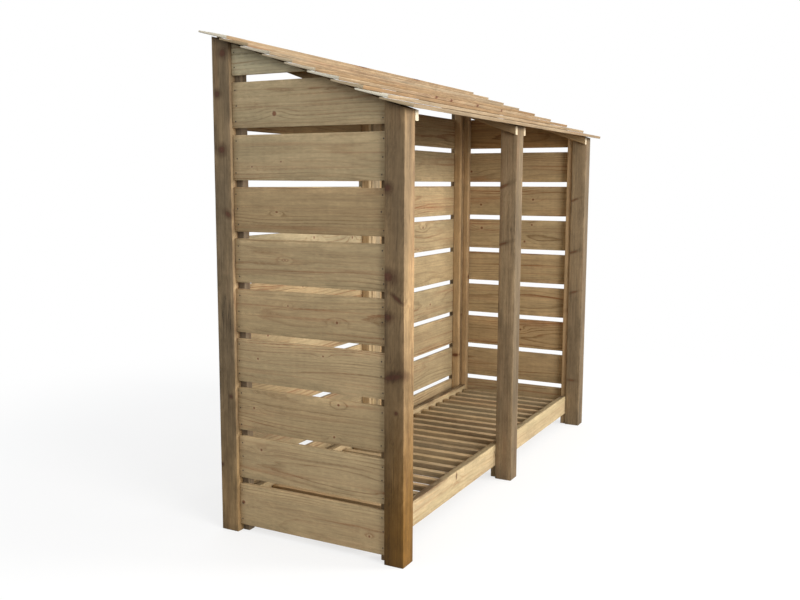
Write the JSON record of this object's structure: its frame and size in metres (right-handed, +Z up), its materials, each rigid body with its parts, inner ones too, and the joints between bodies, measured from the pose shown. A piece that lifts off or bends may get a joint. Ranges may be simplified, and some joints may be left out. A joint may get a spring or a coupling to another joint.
{
  "type": "log store",
  "caption": "Open-fronted timber log store in two bays, with slatted end and back walls, a raised slatted floor and a sloping roof of lapped boards.",
  "frame": {"origin": "on the ground, at the middle of the store's length and depth", "axes": "+X along the store to the right seen from the front, +Y from the open front to the back wall, +Z up"},
  "size_m": [2.05, 0.8025, 1.7214],
  "materials": {
    "posts": "rough sawn pressure-treated softwood, grey-brown",
    "framing": "sawn pressure-treated softwood",
    "wall_boards": "sawn pressure-treated softwood, olive tan",
    "slats": "sawn pressure-treated softwood",
    "roof_boards": "sawn softwood, light orange tan"
  },
  "bodies": {
    "root": {"back_boards_left": "wall_boards", "back_boards_right": "wall_boards", "back_floor_ledger": "framing", "back_left_batten": "framing", "back_left_post": "posts", "back_middle_left_batten": "framing", "back_middle_post": "posts", "back_middle_right_batten": "framing", "back_rail": "framing", "back_rail_support": "framing", "back_right_batten": "framing", "back_right_post": "posts", "floor_slats": "slats", "front_floor_ledger": "framing", "front_left_post": "posts", "front_middle_post": "posts", "front_rail": "framing", "front_rail_support": "framing", "front_right_post": "posts", "left_end_back_batten": "framing", "left_end_boards": "wall_boards", "left_end_front_batten": "framing", "left_rafter": "framing", "middle_left_rafter": "framing", "middle_right_rafter": "framing", "right_end_back_batten": "framing", "right_end_boards": "wall_boards", "right_end_front_batten": "framing", "right_rafter": "framing", "roof_board_1": "roof_boards", "roof_board_2": "roof_boards", "roof_board_3": "roof_boards", "roof_board_4": "roof_boards", "roof_board_5": "roof_boards", "roof_board_6": "roof_boards", "roof_board_7": "roof_boards", "roof_board_8": "roof_boards", "roof_board_9": "roof_boards"}
  },
  "joints": []
}
